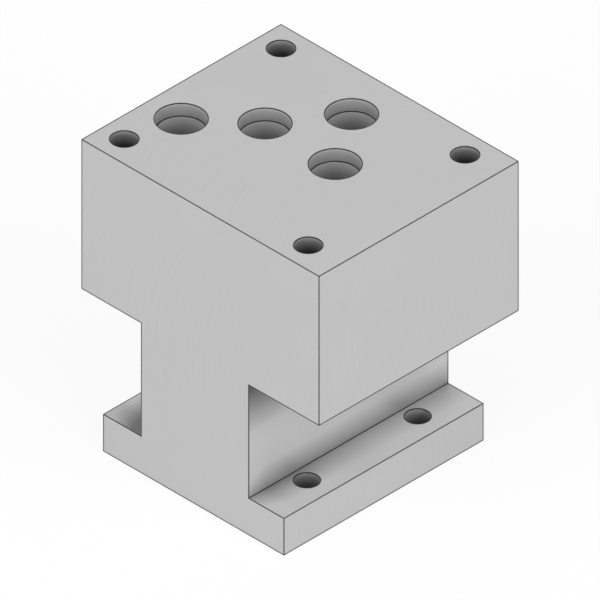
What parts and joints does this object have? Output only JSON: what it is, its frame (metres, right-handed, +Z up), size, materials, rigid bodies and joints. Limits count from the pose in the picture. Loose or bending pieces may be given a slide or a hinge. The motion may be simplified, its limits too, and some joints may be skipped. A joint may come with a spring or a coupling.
{
  "type": "valve adapter plate",
  "caption": "Hydraulic valve adapter: a wide head with a tapped, ported valve face, a slotted waist and a smaller bolt-down foot with sealed ports.",
  "frame": {"origin": "middle of the block's overall footprint, on its underside", "axes": "+Z up, out of the valve face; +X along the head's longer side, towards the side where the foot's bolts stand farther apart; +Y towards the pressure ports"},
  "size_m": [0.0698, 0.0586, 0.0762],
  "materials": {
    "machined_aluminium": "milled, satin"
  },
  "bodies": {
    "root": {"adapter_block": "machined_aluminium"}
  },
  "joints": []
}
